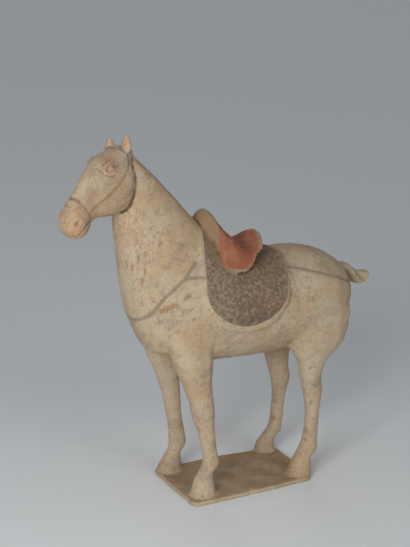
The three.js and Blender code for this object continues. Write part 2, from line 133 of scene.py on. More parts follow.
# Painted and carved lines, as points on the near side in millimetres.
BREAST_STRAP = [
    (-55, -43.5, 213), (-67, -40, 213.5), (-75, -40, 211.7), (-84.4, -39, 204.3), (-92.7, -36, 196),
    (-97.6, -32.4, 188), (-101.4, -28, 182), (-106, -18.3, 176.3), (-108, -8, 173), (-108.5, -3, 172.5),
]
WITHER_STRAP = [(-73, -40, 213), (-67, -38, 219.6), (-60.8, -36, 225.4)]
CRUPPER = [
    (31, -34, 209), (46, -37.6, 206), (60.4, -40.6, 201.8), (76, -41.6, 196.5), (96, -38, 188),
    (107, -24, 181.5), (112, -10, 178.5), (112.5, -3, 178),
]
CLOTH_LINE = [(35, -37, 206.5), (35.6, -41, 201), (36, -46, 192.7), (37, -48.6, 180), (38.3, -48.6, 168)]
ELBOW = [(-45, -47.7, 165), (-45.2, -46, 157), (-44.9, -42.7, 149), (-44.6, -39.5, 140)]
BREAST_FOLD = [(-93, -10, 146), (-90, -18.2, 142.3), (-86, -26, 138), (-80.4, -32.4, 132), (-76, -37, 124)]
NECK_RIDGE = [
    (-103, -20.5, 275), (-103.6, -21.3, 270), (-105.4, -22.7, 257.5), (-107, -23.5, 244.6),
    (-108.5, -24.1, 222),
]
TAIL_GROOVE = [
    (124.5, -6, 188), (126.6, -7.3, 185.2), (129.4, -8.4, 180.7), (132.5, -9, 177), (134.9, -9, 174.7),
]

# The same in the head's frame: along, up, near.
CROWN_STRAP = [
    (4, 12.9, 0), (5, 12.3, 5), (6.6, 10.8, 9.5), (8.6, 7.6, 12.4), (10.5, 4.8, 13.8), (13, 3.6, 15),
]
CHEEK_STRAP = [
    (13, 3.6, 15), (16.8, 3, 15.8), (26.3, 2.5, 16.2), (36.4, 2.8, 15.4), (47, 4.9, 13.6),
    (57.6, 8.4, 11.4), (66, 10.8, 10.4),
]
NOSEBAND = [
    (66, 28.8, 0), (66, 27.4, 3.5), (66.4, 25.4, 6.6), (67.3, 22, 8.8), (68, 18.2, 10.1),
    (69, 12.5, 10.6), (70, 7, 9.4), (70.5, 1, 7), (70.5, -2, 0),
]
MOUTH = [(72.5, 5.6, 9), (77.6, 8.4, 11), (84, 9.3, 11.5), (89.5, 9.6, 8.6), (92, 9.8, 0)]
CHEEK_FOLD = [(64, 14.5, 10.4), (58, 12, 11.6), (50, 9, 13.2), (43, 7.4, 14.4)]
LOWER_LIP = [(76, 5.4, 10.4), (80, 6.2, 11.2), (84.5, 6.8, 10.6), (88.5, 7.2, 7.5), (90.5, 7.4, 0)]

# Grooves and ridges of the face and body: the line, its height in millimetres and its half width.
FACE_GROOVES = [
    (MOUTH, -0.9, 0.8), (LOWER_LIP, 0.4, 1.1), (NOSEBAND, -0.4, 1.2), (CHEEK_STRAP, -0.5, 1.5),
    (CROWN_STRAP, -0.2, 0.9), (CHEEK_FOLD, 0.35, 0.9),
]
BODY_GROOVES = [
    (ELBOW, -0.6, 2.2), (BREAST_FOLD, -0.5, 2), (NECK_RIDGE, 0.3, 1.6), (TAIL_GROOVE, -1.1, 1.0),
]

# A nostril in the head's frame: its middle and half sizes along and up.
NOSTRIL_MIDDLE = (83.4, 18.8)
NOSTRIL_SIZE = (2.9, 1.9)

# One eye in the head's frame: its middle, the way it faces, and how far its long axis is turned up.
EYE_MIDDLE = np.array([24.5, 18.45, 15.2])
EYE_FACING = np.array([-0.128, 0.382, 0.915])
EYE_TILT = math.radians(40)
EYE_BALL = ((0.9, -0.3), (3.3, 2.9))
# Its folds on the side of the face: depth, half width, and points forward and up from the middle.
UPPER_LID = (0.45, 0.6, [(-3.9, 0.6), (-3.2, 2.9), (-1.6, 4.2), (0.6, 4.5), (2.8, 3.9), (4.9, 2.3), (7, 0.4)])
LOWER_LID = (0.42, 0.6, [(-4.4, -3.3), (-1.3, -5.2), (2, -5.6), (4.9, -4.8), (7.3, -3.3), (9.1, -1.3)])
LID_LINE = (-0.55, 0.45, [
    (-3.2, -1.2), (-2.9, 0.9), (-1.6, 2.7), (0.6, 3.2), (2.9, 2.6), (4.6, 1), (6.6, -1),
])
LOWER_LINE = (-0.5, 0.45, [(-3.2, -1.2), (-1.6, -3.2), (0.9, -4), (3.4, -3.6), (5.3, -2.2), (6.6, -1)])
LID_FOLD = (-0.5, 0.5, [
    (-4.6, -3.4), (-5.2, -1), (-4.5, 2), (-2.7, 4.6), (0, 5.9), (2.8, 5.9), (5.8, 4.9), (7.8, 3.4),
])
WRINKLE = (-0.5, 0.45, [(9.4, -4.2), (6.7, -6.1), (3.9, -7.3), (0.9, -7.8)])
TEAR_FOLD = (0.4, 0.6, [
    (13.8, -0.1), (11.5, 1.4), (9.4, 1.3), (8.2, -0.3), (8.3, -2.1), (9.7, -3.5), (11.9, -3.6),
])
TEAR_LINE = (-0.55, 0.45, [(12.3, -0.5), (10.7, -0.4), (10.2, -1.8), (11.7, -2.8)])
EYE_FOLDS = [UPPER_LID, LOWER_LID, LID_LINE, LOWER_LINE, LID_FOLD, WRINKLE, TEAR_FOLD, TEAR_LINE]

# The ears in the head's frame: base, tip and side. Orange left on the muzzle: place and size.
EARS = [((5, 8.5, 9.4), (-8.3, 19.3, 9), 1), ((6, 8.5, -10), (-3, 18, -9.8), -1)]
ORANGE_PLACES = [
    ((72.8, 24.5, 8.5), 5.5), ((83.5, 18.3, 9.8), 4.4), ((80.6, 27.1, -3.2), 4.5), ((90.6, 16.8, 7.9), 3.4),
    ((78, 21, 9.5), 3.4), ((86, 24, 6), 3), ((88, 10, 9), 3), ((72.8, 24.5, -8.5), 4.5), ((84, 18, -9.8), 4),
    ((61, 20, 10.5), 3.4), ((56, 17, 12), 3.6),
]

# Painted areas as outlines over the barrel, from the spine round to the spine again at the back:
# along the back, and degrees from the spine.
CLOTH_PAINT = [
    (-45.5, 0), (-45.5, 8), (-47.5, 18), (-49.5, 26), (-51, 32.5), (-53.6, 44.2), (-55.2, 58.8), (-53, 70),
    (-49.5, 77.5), (-39.8, 88.6), (-31, 94.8), (-23, 98.6), (-15, 100.2), (-7, 99.8), (1, 98), (8.5, 94.6),
    (14.5, 90.2), (20.6, 83.5), (25, 74.5), (27, 67), (29.2, 58), (30.6, 51.5), (32, 42), (33.1, 32),
    (34.3, 20), (34.6, 8), (34.6, 0),
]
SEAT_RED = [
    (-29, 0), (-29.5, 12), (-32.3, 22), (-34, 29), (-33, 35), (-29, 38.7), (-24, 41.2), (-18, 42.6),
    (-12, 43.3), (-5.6, 40.3), (-1.2, 36.3), (3.2, 31.5), (6.8, 27.4), (10.4, 23.2), (13.5, 17), (15, 8.5),
    (15.4, 0),
]
SADDLE_EDGE = [
    (-46, 0), (-45.2, 24), (-43.6, 28.8), (-41.1, 31.8), (-37.6, 35), (-34.1, 38.5), (-30.6, 41.8),
    (-26.6, 44.4), (-19.6, 45.8), (-11.6, 45.8), (-4.6, 40.4), (1.4, 34.9), (4, 30.5), (7.5, 27.3),
    (11, 24.3), (13.6, 20), (15.5, 14), (17.5, 8), (18, 0),
]

# Brown marks: place, half sizes along and across in millimetres, and degrees from level.
MARKS = [
    ((-91, -37, 187.5), 9.5, 3.4, 30),
    ((-84, -40, 191.5), 4.5, 3.2, 20),
    ((-72, -43, 198), 5.5, 3, 35),
    ((-67.4, -45, 177.4), 2.2, 2, 0),
    ((-87, -37, 169.6), 2, 1.4, 0),
    ((-80.4, -40, 167), 2.6, 2, 20),
    ((-99, -31.7, 194.5), 3, 1.4, 40),
    ((-57, -42, 6.8), 2, 1.6, 0),
    ((58.6, -39.5, 76.3), 3.4, 1.7, 80),
    ((56.4, -35.3, 47.4), 3.2, 1.4, 85),
    ((54.7, -42.8, 111.4), 2.8, 1.4, 60),
    ((55.6, -36.9, 38.1), 2, 1.2, 90),
    ((58.9, 28.8, 36.7), 4, 1.6, 75),
    ((61.3, 27.5, 53.3), 2.2, 1.2, 80),
    ((-50.4, -47.9, 181), 2.4, 1, 50),
    ((-53.4, -47.2, 185), 1.8, 0.9, 50),
    ((-109.5, -22, 232), 7, 1.4, 88),
    ((-105, -25.5, 222), 7, 1.3, 86),
    ((-113, -17.5, 224), 5, 1.2, 92),
    ((-107, -24, 213), 5, 1.5, 84),
    ((-94, -35, 176), 3, 1.6, 20),
    ((-70, -44.5, 186), 3.4, 1.3, 30),
]


def linear(red, green, blue):
    """An eight-bit screen colour as linear light."""
    def channel(value):
        share = value / 255
        return share / 12.92 if share <= 0.04045 else ((share + 0.055) / 1.055) ** 2.4

    return (channel(red), channel(green), channel(blue), 1.0)


def length_setting(name, description, length):
    return FloatProperty(name=name, description=description, default=length, unit="LENGTH")


def angle_setting(name, description, degrees):
    return FloatProperty(name=name, description=description, default=math.radians(degrees), subtype="ANGLE")


def number_setting(name, description, number):
    return FloatProperty(name=name, description=description, default=number)


def colour_setting(name, description, red, green, blue):
    shade = linear(red, green, blue)
    return FloatVectorProperty(
        name=name, description=description, default=shade, size=4, min=0, max=1, subtype="COLOR"
    )


class ClayForm(bpy.types.PropertyGroup):
    """Sizes of the clay surface."""

    voxel: length_setting("Skin step", "Size of the skin's faces", 1.66 * MM)
    passes: IntProperty(name="Smoothing passes", description="Passes on the softest joins", default=56, min=1)
    crease: FloatProperty(
        name="Crease", description="How much further creases are cut in", default=0.7, min=0, max=2
    )
    unevenness: length_setting("Unevenness", "Depth of the hand-made waviness", 0.3 * MM)
    pitting: length_setting("Pitting", "Depth of pits and grit", 0.08 * MM)


class ClayColours(bpy.types.PropertyGroup):
    """Colours of the slip, paint, stains, dirt and painted shade."""

    slip: colour_setting("Slip", "Cream slip over the clay", 190, 172, 146)
    warm_slip: colour_setting("Warm slip", "Slip worn to a warmer buff", 184, 159, 129)
    grey_slip: colour_setting("Grey slip", "Slip dulled by burial", 166, 151, 131)
    # Also the dirt in the face's grooves, and the painted shadow in the tail's fold.
    ochre: colour_setting("Ochre speck", "Small ochre specks", 150, 116, 78)
    rust: colour_setting("Rust stain", "Brown stains", 150, 110, 74)
    seat_red: colour_setting("Seat red", "Red paint of the saddle", 152, 88, 64)
    seat_worn: colour_setting("Worn red", "Red paint worn thin", 166, 112, 86)
    pommel: colour_setting("Pommel buff", "Worn buff of the pommel and the saddle's edges", 149, 120, 92)
    band: colour_setting("Pommel band", "Dull grey-brown of the pommel's sides", 142, 117, 92)
    cloth: colour_setting("Cloth", "Dark ground of the saddle cloth", 115, 98, 80)
    cloth_pale: colour_setting("Cloth pale", "Pale mottling of the cloth", 158, 141, 120)
    cloth_red: colour_setting("Cloth red", "Reddish mottling of the cloth", 136, 98, 84)
    cloth_low: colour_setting("Cloth lower edge", "Purple-grey of the cloth's lower part", 108, 91, 80)
    cloth_ochre: colour_setting("Cloth ochre", "Ochre mottling of the cloth", 134, 110, 76)
    strap: colour_setting("Strap grey", "Grey paint of the straps", 124, 110, 94)
    slab: colour_setting("Slab", "Bare clay on top of the slab", 150, 121, 88)
    # Also the painted shade laid with the dirt in the creases.
    dirt_and_shade: colour_setting("Dirt", "Dirt in the creases", 92, 72, 54)
    eye: colour_setting("Eye brown", "Reddish brown left in the eye", 116, 76, 54)
    # Also stronger in the ears' hollows, as painted shade there.
    orange: colour_setting("Muzzle orange", "Orange left on the muzzle, ears and eyes", 180, 120, 84)


class StudioSet(bpy.types.PropertyGroup):
    """The camera, floor and lights."""

    azimuth: angle_setting("Azimuth", "Turn of the camera about the object", -28.42)
    elevation: angle_setting("Elevation", "Height angle of the camera", 16.16)
    distance: length_setting("Distance", "From the camera to its aim", 1.4)
    focal: number_setting("Focal length", "Lens in millimetres", 102.4)
    aim: FloatVectorProperty(
        name="Aim", description="Point at the middle of the view", default=(-0.03182, 0, 0.20276),
        size=3, subtype="TRANSLATION",
    )
    key: FloatProperty(name="Key light", description="Power of the main light", default=9.7, unit="POWER")
    fill: number_setting("Fill light", "Strength of the broad light of the room", 0.42)
    rear: number_setting("Rear light", "Strength of the weak light from behind", 0.3)
    ambient: number_setting("Ambient light", "Strength of the light from all round", 0.24)
    floor: colour_setting("Floor", "Colour of the floor", 236, 239, 240)


# Fields and small shape helpers

def head_axes():
    """The ways along the face, up from it and towards the near side."""
    forward = np.array([-math.cos(HEAD_TURN), -math.sin(HEAD_TURN), 0])
    near = np.array([math.sin(HEAD_TURN), -math.cos(HEAD_TURN), 0])
    lift = np.array([0, 0, 1])
    along = forward * math.cos(HEAD_PITCH) - lift * math.sin(HEAD_PITCH)
    up = forward * math.sin(HEAD_PITCH) + lift * math.cos(HEAD_PITCH)
    return along, up, near


def to_head(points):
    """Places in the head's frame, as columns along, up and near."""
    return (points - POLL) @ np.array(head_axes()).T


def from_head(places):
    return POLL + np.asarray(places, float) @ np.array(head_axes())


def smooth_step(value, low, high):
    share = np.clip((value - low) / (high - low), 0, 1)
    return share * share * (3 - 2 * share)


def rounded_route(points, steps=8):
    """A smooth curve through the points."""
    points = np.asarray(points, float)
    padded = np.vstack([2 * points[0] - points[1], points, 2 * points[-1] - points[-2]])
    made = []
    for before, start, end, after in zip(padded, padded[1:], padded[2:], padded[3:]):
        for t in np.linspace(0, 1, steps, endpoint=False):
            bend = (2 * before - 5 * start + 4 * end - after) * t * t
            twist = (3 * start - before - 3 * end + after) * t ** 3
            made.append(0.5 * (2 * start + (end - before) * t + bend + twist))
    made.append(points[-1])
    return np.array(made)


def mirrored(points):
    """The same line on the far side of the body."""
    return [(x, 2 * BODY_MIDDLE_Y - y, z) for x, y, z in points]


def gaps_to_span(points, start, end):
    """The way to every point from the nearest place on a straight span."""
    span = end - start
    share = np.clip(((points - start) @ span) / max(span @ span, 1e-9), 0, 1)
    return points - start - share[:, None] * span


def reach_to_line(points, line):
    """The distance from every point to an open line."""
    best = np.full(len(points), np.inf)
    for start, end in zip(line, line[1:]):
        gap = gaps_to_span(points, start, end)
        best = np.minimum(best, np.einsum("ij,ij->i", gap, gap))
    return np.sqrt(best)


def inset_in_outline(points, outline):
    """Signed distance to a closed flat outline, positive inside."""
    x, y = points.T
    outline = np.asarray(outline, float)
    inside = np.zeros(len(points), bool)
    best = np.full(len(points), np.inf)
    for start, end in zip(outline, np.roll(outline, -1, axis=0)):
        gap = gaps_to_span(points, start, end)
        best = np.minimum(best, np.hypot(gap[:, 0], gap[:, 1]))
        crosses = (start[1] > y) != (end[1] > y)
        rise = np.where(crosses, end[1] - start[1], 1)
        at = start[0] + (y - start[1]) * (end - start)[0] / np.where(rise == 0, 1, rise)
        inside ^= crosses & (x < at)
    return np.where(inside, best, -best)


def waves(points, length, seed, octaves=3):
    """Smooth waviness between about -1 and 1 with a given wave length."""
    rng = np.random.default_rng(seed)
    total = np.zeros(len(points))
    for octave in range(octaves):
        for _ in range(7):
            heading = rng.normal(size=3)
            heading *= 2 * math.pi * 2 ** octave / (length * np.linalg.norm(heading))
            total += np.sin(points @ heading + rng.uniform(0, 2 * math.pi)) * 0.5 ** octave
    return total / 5


def over_barrel(points):
    """Places unrolled over the barrel: along the back, and degrees from the spine."""
    side = np.abs(points[:, 1] - BARREL_AXIS[0])
    return np.stack([points[:, 0], np.degrees(np.arctan2(side, points[:, 2] - BARREL_AXIS[1]))], 1)


def painted_inset(points, outline):
    """Signed distance into an area painted over the back, on both sides of the spine."""
    mirror = [(x, -degrees) for x, degrees in reversed(outline[1:-1])]
    return np.clip(inset_in_outline(over_barrel(points), outline + mirror), -FAR_OFF, FAR_OFF)


def cloth_reach(points):
    """How far out a place lies on the saddle cloth: 1 is its rim."""
    x = points[:, 0]
    above = points[:, 2] - BARREL_AXIS[1]
    top = BACK_HEIGHT + WITHERS_RISE * smooth_step(WITHERS_START_X - x, 0, WITHERS_RUN)
    share = np.clip(above / np.where(above > 0, top, BARREL_HALF_HEIGHT), -1, 1)
    degrees = 90 - np.degrees(np.arcsin(np.sign(share) * np.abs(share) ** (BARREL_FULLNESS / 2)))
    degrees = np.where(np.abs(share) >= 1, np.where(share > 0, 0, 180), degrees)
    climb = np.clip(1 - degrees / CLOTH_STRAIGHT, 0, 1)
    front = CLOTH_HALF_LENGTH - CLOTH_FRONT_CUT * climb ** CLOTH_FRONT_TURN
    rear = CLOTH_HALF_LENGTH + CLOTH_REAR_FLARE * climb ** CLOTH_REAR_TURN
    half = np.where(x < CLOTH_MIDDLE_X, front, rear)
    along = np.abs(x - CLOTH_MIDDLE_X) / half
    hang = np.clip(degrees - CLOTH_STRAIGHT, 0, None) / CLOTH_ROUND
    return (along ** CLOTH_FULLNESS + hang ** CLOTH_FULLNESS) ** (1 / CLOTH_FULLNESS)


class Skin:
    """The figure's mesh with its points in millimetres and its fields."""

    def __init__(self, mesh):
        self.mesh = mesh
        self.read()

    def read(self):
        count = len(self.mesh.vertices)
        flat = np.empty(count * 3)
        self.mesh.vertices.foreach_get("co", flat)
        self.points = flat.reshape(-1, 3) / MM
        pairs = np.empty(len(self.mesh.edges) * 2, np.int64)
        self.mesh.edges.foreach_get("vertices", pairs)
        self.pairs = pairs.reshape(-1, 2)
        self.neighbours = np.bincount(self.pairs.ravel(), minlength=count)

    def write(self):
        self.mesh.vertices.foreach_set("co", (self.points * MM).ravel())
        self.mesh.update()

    def normals(self):
        self.write()
        flat = np.empty(len(self.points) * 3)
        self.mesh.vertices.foreach_get("normal", flat)
        return flat.reshape(-1, 3)

    def average(self, values):
        """The mean of every point's neighbours."""
        first, second = self.pairs.T
        count = len(values)
        made = np.empty_like(values)
        for axis in range(values.shape[1]):
            made[:, axis] = np.bincount(first, values[second, axis], count)
            made[:, axis] += np.bincount(second, values[first, axis], count)
        return made / np.maximum(self.neighbours, 1)[:, None]

    def smooth(self, passes, share):
        """Evens the skin without shrinking it; share says how many of the passes a point takes."""
        for step in range(passes):
            taking = (share * passes > step)[:, None]
            for pull in (0.5, -0.52):
                self.points += np.where(taking, pull * (self.average(self.points) - self.points), 0)

    def push(self, depth):
        """Moves every point along its normal by a depth in millimetres."""
        self.points += self.normals() * depth[:, None]
        self.write()

    def store(self, name, values):
        layer = self.mesh.attributes.get(name) or self.mesh.attributes.new(name, "FLOAT", "POINT")
        layer.data.foreach_set("value", np.asarray(values, np.float32))

    def refine(self, chosen):
        """Halves the faces where the chosen points are."""
        self.write()
        shape = bmesh.new()
        shape.from_mesh(self.mesh)
        edges = [e for e in shape.edges if chosen[e.verts[0].index] and chosen[e.verts[1].index]]
        bmesh.ops.subdivide_edges(shape, edges=edges, cuts=1, use_grid_fill=True)
        shape.to_mesh(self.mesh)
        shape.free()
        self.read()

    def reach(self, lines):
        """How far each point is from the nearest of some lines, once they are laid onto the skin."""
        tree = BVHTree.FromPolygons(
            [Vector(p) for p in self.points], [list(p.vertices) for p in self.mesh.polygons]
        )
        laid = [np.array([tree.find_nearest(Vector(p))[0] for p in line]) for line in lines]
        return np.minimum.reduce([reach_to_line(self.points, line) for line in laid])


def remeshed(node, voxel):
    """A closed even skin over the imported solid."""
    copy = node.data.copy()
    shape = bmesh.new()
    shape.from_mesh(copy)
    bmesh.ops.remove_doubles(shape, verts=shape.verts, dist=0.01 * MM)
    shape.to_mesh(copy)
    shape.free()
    carrier = bpy.data.objects.new("skin_source", copy)
    bpy.context.scene.collection.objects.link(carrier)
    modifier = carrier.modifiers.new("skin", "REMESH")
    modifier.mode = "VOXEL"
    modifier.voxel_size = voxel
    depsgraph = bpy.context.evaluated_depsgraph_get()
    made = bpy.data.meshes.new_from_object(carrier.evaluated_get(depsgraph))
    bpy.data.objects.remove(carrier)
    bpy.data.meshes.remove(copy)
    return made


def bell(reach, width):
    """Full on a line, and down to nought about two widths off it."""
    return np.exp(-((reach / width) ** 2))


def on_ears(points, margin=0.0):
    return (points[:, 2] > EARS_LOW_Z + margin) & (points[:, 0] > EARS_FRONT_X + margin)


def softness(points):
    """How much of the smoothing each place takes, from 0 for crisp edges to 1 for the barrel."""
    x, _, z = points.T
    along, up, _ = to_head(points).T
    legs = smooth_step(z, *LEGS_FADE)
    share = 1 - legs + SMOOTHING["legs"] * legs
    head = smooth_step(up + 0.5 * along, *HEAD_FADE) * (x < HEAD_JOIN_X)
    share = share * (1 - head) + SMOOTHING["head"] * head
    share = np.where(on_ears(points, 2), SMOOTHING["ears"], share)
    share = np.where(saddle_inset(points) > -4, np.minimum(share, SMOOTHING["saddle"]), share)
    rim = (np.abs(cloth_reach(points) - 1) < 0.12) & (z > BARREL_LOW_Z)
    share = np.where(rim, np.minimum(share, SMOOTHING["cloth rim"]), share)
    share = np.where(x > TAIL_FRONT_X, SMOOTHING["tail"], share)
    return np.where(z < HOOF_TOP, SMOOTHING["slab"], share)


def saddle_inset(points):
    """Signed distance into the whole saddle, over the barrel."""
    return np.where(points[:, 2] > SADDLE_LOW_Z, painted_inset(points, SADDLE_EDGE), -FAR_OFF)


def eye_places(head, side):
    """Places in the plane of one eye, forward and up from its middle, and how far off that plane."""
    facing = EYE_FACING / np.linalg.norm(EYE_FACING)
    forward = np.array([math.cos(EYE_TILT), math.sin(EYE_TILT), 0])
    forward -= facing * (forward @ facing)
    forward /= np.linalg.norm(forward)
    up = np.cross(facing, forward)
    gap = head * (1, 1, side) - EYE_MIDDLE
    return np.stack([gap @ forward, gap @ up], 1), np.abs(gap @ facing)


def eye_ball(flat):
    (forward, up), (length, height) = EYE_BALL
    return np.hypot((flat[:, 0] - forward) / length, (flat[:, 1] - up) / height)


def eye_relief(flat):
    """Depths of the eyeball, its lids and the folds round it."""
    depth = 0.55 * np.exp(-(eye_ball(flat) ** 4))
    for height, width, line in EYE_FOLDS:
        depth += height * bell(reach_to_line(flat, rounded_route(line, 5)), width)
    return depth


def eye_darkening(flat):
    """Where the eye's grooves are darkened, and the old colour on its ball."""
    dirt_and_shade = np.exp(-((eye_ball(flat) / 0.8) ** 4))
    for height, width, line in EYE_FOLDS:
        if height < 0:
            dirt_and_shade = np.maximum(dirt_and_shade, 0.5 * bell(reach_to_line(flat, rounded_route(line, 5)), width * 1.2))
    return dirt_and_shade


def eye_area(flat):
    """The oval that takes in the eye and the folds round it."""
    return 1.0 * (np.hypot((flat[:, 0] - 3) / 12, flat[:, 1] / 9) < 1)


def eye_colour(flat):
    """Old colour all round the eye."""
    return 0.36 * np.exp(-((np.hypot(flat[:, 0] - 1, flat[:, 1]) / 9) ** 4))


def brow_colour(flat):
    """Old colour along the brow, above the eye."""
    return 0.8 * np.exp(-(((flat[:, 0] + 1) / 7) ** 2) - ((flat[:, 1] - 7.5) / 2.8) ** 2)


def nostril_relief(head, side):
    """Depths of one nostril and the low rim round it."""
    off = (head[:, :2] - NOSTRIL_MIDDLE) / NOSTRIL_SIZE
    hollow = np.hypot(off[:, 0], off[:, 1])
    return np.where(head[:, 2] * side > 3, 0.45 * bell(hollow - 1.8, 0.5) - bell(hollow, 1), 0)


def head_reach(skin, route):
    """How far each point is from a line of the head, on the near side or the far side."""
    sides = [[(along, up, near * side) for along, up, near in route] for side in (1, -1)]
    return skin.reach([from_head(rounded_route(line)) for line in sides])


def body_reach(skin, *routes):
    """The same for lines of the body."""
    return skin.reach([rounded_route(line) for route in routes for line in (route, mirrored(route))])


def near_eyes(skin, work, far_share=1.0):
    """Adds up a flat field round both eyes, and leaves the rest of the skin at nought."""
    head = to_head(skin.points)
    made = np.zeros(len(head))
    for side, share in ((1, 1.0), (-1, far_share)):
        flat, off = eye_places(head, side)
        chosen = (off < 9) & (np.hypot(flat[:, 0] - 2, flat[:, 1]) < 17)
        made[chosen] += share * work(flat[chosen])
    return made


def ear_hollows(skin):
    """How strongly each point lies in the shallow hollow on the front of an ear."""
    along, up, near = head_axes()
    normals = skin.normals()
    made = np.zeros(len(skin.points))
    for base, tip, side in EARS:
        low, high = from_head([base, tip])
        length = np.linalg.norm(high - low)
        rise = (high - low) / length
        facing = 0.75 * (along * math.cos(HEAD_PITCH) + up * math.sin(HEAD_PITCH)) + 0.65 * side * near
        facing -= rise * (facing @ rise)
        facing /= np.linalg.norm(facing)
        gap = skin.points - low
        share = gap @ rise / length
        sideways = gap @ np.cross(rise, facing)
        within = (np.linalg.norm(gap - np.outer(gap @ rise, rise), axis=1) < 7) & (normals @ facing > 0.1)
        spread = smooth_step(share, 0.25, 0.45) * smooth_step(share, 0.95, 0.75)
        made += within * spread * bell(sideways, 2.2 * (1.1 - 0.5 * share))
    return made


def crease_depths(skin, passes):
    """How far each point stands above the evened skin round it; creases are below nought."""
    calm = skin.points.copy()
    for _ in range(passes):
        calm += 0.6 * (skin.average(calm) - calm)
    return np.einsum("ij,ij->i", skin.points - calm, skin.normals())


def carve(skin, form):
    """All the fine relief."""
    x, _, z = skin.points.T
    head = to_head(skin.points)
    depth = near_eyes(skin, eye_relief, 0.5) - ear_hollows(skin)
    for side in (1, -1):
        depth += np.where(x < MUZZLE_BACK_X, nostril_relief(head, side), 0)
    for route, height, width in FACE_GROOVES:
        depth += np.where(x < HEAD_BACK_X, height * bell(head_reach(skin, route), width), 0)
    for route, height, width in BODY_GROOVES:
        depth += height * bell(body_reach(skin, route), width)
    depth += form.unevenness / MM * waves(skin.points, 26, seed=1)
    depth += form.pitting / MM * waves(skin.points, 5, seed=3, octaves=2)
    skin.push(np.where(z < 0.4, 0, depth))


def paint_tack(skin):
    """Stores where the cloth, the saddle and the straps are painted."""
    x, _, z = skin.points.T
    near_cloth = (z > BARREL_LOW_Z) & (x > CLOTH_SPAN[0]) & (x < CLOTH_SPAN[1])
    saddle = saddle_inset(skin.points)
    seat = painted_inset(skin.points, SEAT_RED)
    pommel_side = smooth_step(over_barrel(skin.points)[:, 1], *POMMEL_SIDES) * smooth_step(x, *POMMEL_FADE)
    skin.store("cloth_inset", np.where(near_cloth, painted_inset(skin.points, CLOTH_PAINT), -FAR_OFF))
    skin.store("saddle_inset", saddle)
    skin.store("seat_inset", np.where(z > SADDLE_LOW_Z, seat, -FAR_OFF))
    skin.store("band", pommel_side * (saddle > -1))
    skin.store("strap_reach", np.clip(body_reach(skin, BREAST_STRAP, WITHER_STRAP, CRUPPER), 0, FAR_OFF))
    skin.store("faint_line", bell(body_reach(skin, CLOTH_LINE), 1.5))


def paint_face(skin):
    """Stores the lines of the bridle, the dirt in the face's grooves, the painted shadow in the tail's fold,
    the eyes' darkened grooves, and the old colour of the face and ears with painted shade in the ears'
    hollows.
    """
    x, _, z = skin.points.T
    head = to_head(skin.points)
    along, up, near = head.T
    on_head = x < HEAD_BACK_X
    band = head_reach(skin, NOSEBAND)
    crown = np.where(np.abs(near) < 3, FAR_OFF, head_reach(skin, CROWN_STRAP))
    drawn = np.minimum(crown, np.where(up > 24, band - 0.4, FAR_OFF))
    skin.store("bridle_reach", np.where(on_head, np.clip(drawn, 0, FAR_OFF), FAR_OFF))
    cheek = bell(head_reach(skin, CHEEK_STRAP), 1.8)
    grooves = np.maximum(np.maximum(cheek, bell(band, 0.9)), bell(head_reach(skin, MOUTH), 1.0))
    # Painted shadow in the tail's fold, where the tail stands off the rump.
    tail_fold_shadow = 1.3 * bell(body_reach(skin, TAIL_GROOVE), 1.1)
    ridge = 0.4 * bell(body_reach(skin, NECK_RIDGE), 0.8)
    skin.store("soiled_and_shaded", np.maximum(np.maximum(np.where(on_head, grooves, 0), tail_fold_shadow), ridge))
    # The eye's brown on its ball, and darker in its grooves.
    skin.store("eye", near_eyes(skin, eye_darkening))
    # Orange over the ears, stronger in their front hollows as painted shade.
    skin.store("ear", smooth_step(z, *EARS_FADE) * (0.5 + 0.5 * ear_hollows(skin)))
    muzzle = np.where(on_head & (up + 0.5 * along > 4), 0.22, 0)
    muzzle = np.maximum(muzzle, 0.36 * smooth_step(along, *MUZZLE_FADE) * (x < NOSE_BACK_X))
    for middle, size in ORANGE_PLACES:
        reach = np.sum(((head - middle) / (1.2 * size)) ** 2, axis=1)
        muzzle = np.maximum(muzzle, 0.8 * np.exp(-reach))
    round_eyes = np.maximum(near_eyes(skin, brow_colour, 0.4), near_eyes(skin, eye_colour))
    skin.store("orange", np.clip(muzzle + round_eyes, 0, 1))


def mark_field(points):
    """How strongly each point is covered by one of the brown marks."""
    best = np.zeros(len(points))
    for place, along, across, degrees in MARKS:
        x, y, z = (points - np.array(place)).T
        turn = math.radians(degrees)
        flat = x * math.cos(turn) + z * math.sin(turn)
        cross = z * math.cos(turn) - x * math.sin(turn)
        shape = (flat / along) ** 2 + (cross / across) ** 2 + (y / 8) ** 2
        best = np.maximum(best, np.exp(-shape * 0.9))
    return best


def crease_shade_and_dirt(skin):
    """Heights above the skin round each point, for painted shade and dirt in the creases; eased where it
    would be too strong.
    """
    x, _, z = skin.points.T
    front_rim = (np.abs(cloth_reach(skin.points) - 1.05) < 0.14) & (x < -20)
    elbow = (np.abs(x + 43) < 9) & (z > 110) & (z < 165)
    depth = crease_depths(skin, 8)
    for chosen, share in ((x < HEAD_BACK_X, 1.15), (z < HOOF_TOP, 0.35), (front_rim, 0.5), (elbow, 0.55)):
        depth *= np.where(chosen, share, 1)
    return np.clip(depth, -1.5, 1.5)


def paint_stains(skin):
    """Stores the brown marks, the bare slab, the neck's streaks and the depths for painted shade and dirt in
    the creases.
    """
    x, _, z = skin.points.T
    under_jaw = to_head(skin.points)[:, 1] < -8
    skin.store("mark", mark_field(skin.points))
    skin.store("slab", smooth_step(z, *SLAB_FADE))
    skin.store("neck", smooth_step(z, *NECK_RISE) * smooth_step(x, *NECK_FADE) * under_jaw)
    # Crease depths: painted shade and dirt go in the creases, paler slip on the high places.
    skin.store("relief", crease_shade_and_dirt(skin))


